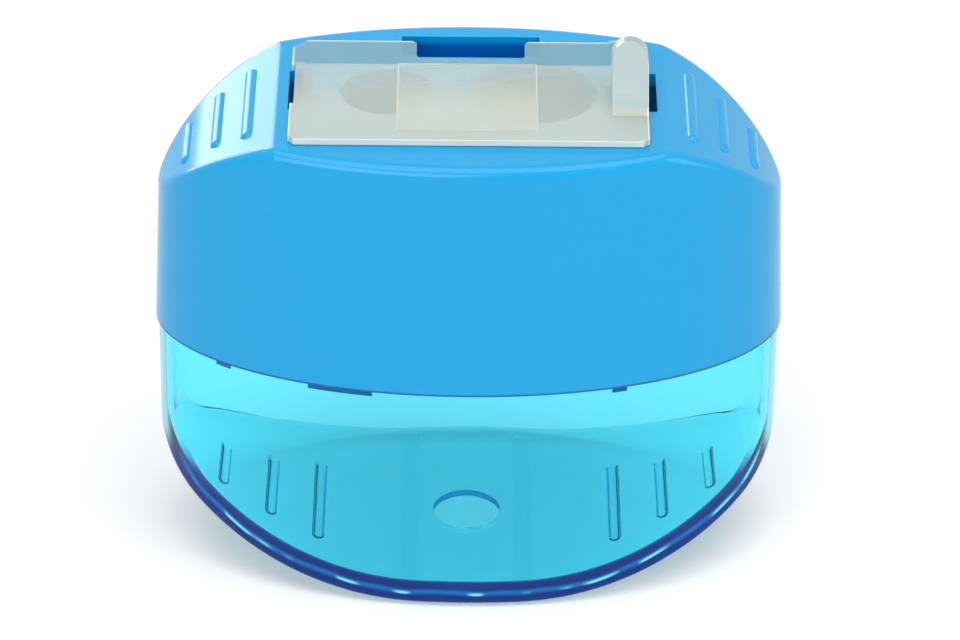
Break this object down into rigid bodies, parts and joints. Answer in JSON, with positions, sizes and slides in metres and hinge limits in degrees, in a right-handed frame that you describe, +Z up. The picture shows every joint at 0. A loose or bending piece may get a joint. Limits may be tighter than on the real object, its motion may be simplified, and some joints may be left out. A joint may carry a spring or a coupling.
{
  "type": "pencil sharpener",
  "caption": "Hand-held oval container pencil sharpener with a blue upper shell, clear shavings container, hinged lid over small and large pencil bores, and a metal block with left-hand blades.",
  "frame": {"origin": "on the resting plane, under the middle of the oval body", "axes": "+Z up, +X along the body's width towards the lid's finger tab, front towards -Y"},
  "size_m": [0.061, 0.031, 0.0545],
  "materials": {
    "blue_shell": "glossy moulded polystyrene",
    "clear_container": "transparent tinted polystyrene, polished",
    "milky_lid": "natural translucent polypropylene",
    "block_metal": "machined light metal",
    "blade_steel": "ground hardened steel",
    "screw_steel": "plated steel"
  },
  "bodies": {
    "container": {"shavings_container": "clear_container"},
    "cap": {"top_shell": "blue_shell", "sharpener_block": "block_metal", "standard_blade": "blade_steel", "jumbo_blade": "blade_steel", "standard_blade_screw": "screw_steel", "jumbo_blade_screw": "screw_steel"},
    "lid": {"flap_lid": "milky_lid"}
  },
  "joints": [
    {"name": "cap_pull", "type": "slide", "parent": "container", "child": "cap", "axis": [0, 0, 1], "range_m": [0, 0.03]},
    {"name": "lid_hinge", "type": "hinge", "parent": "cap", "child": "lid", "pos_m": [-0.0171, 0, 0.0488], "axis": [0, -1, 0], "range_deg": [0, 95]}
  ]
}
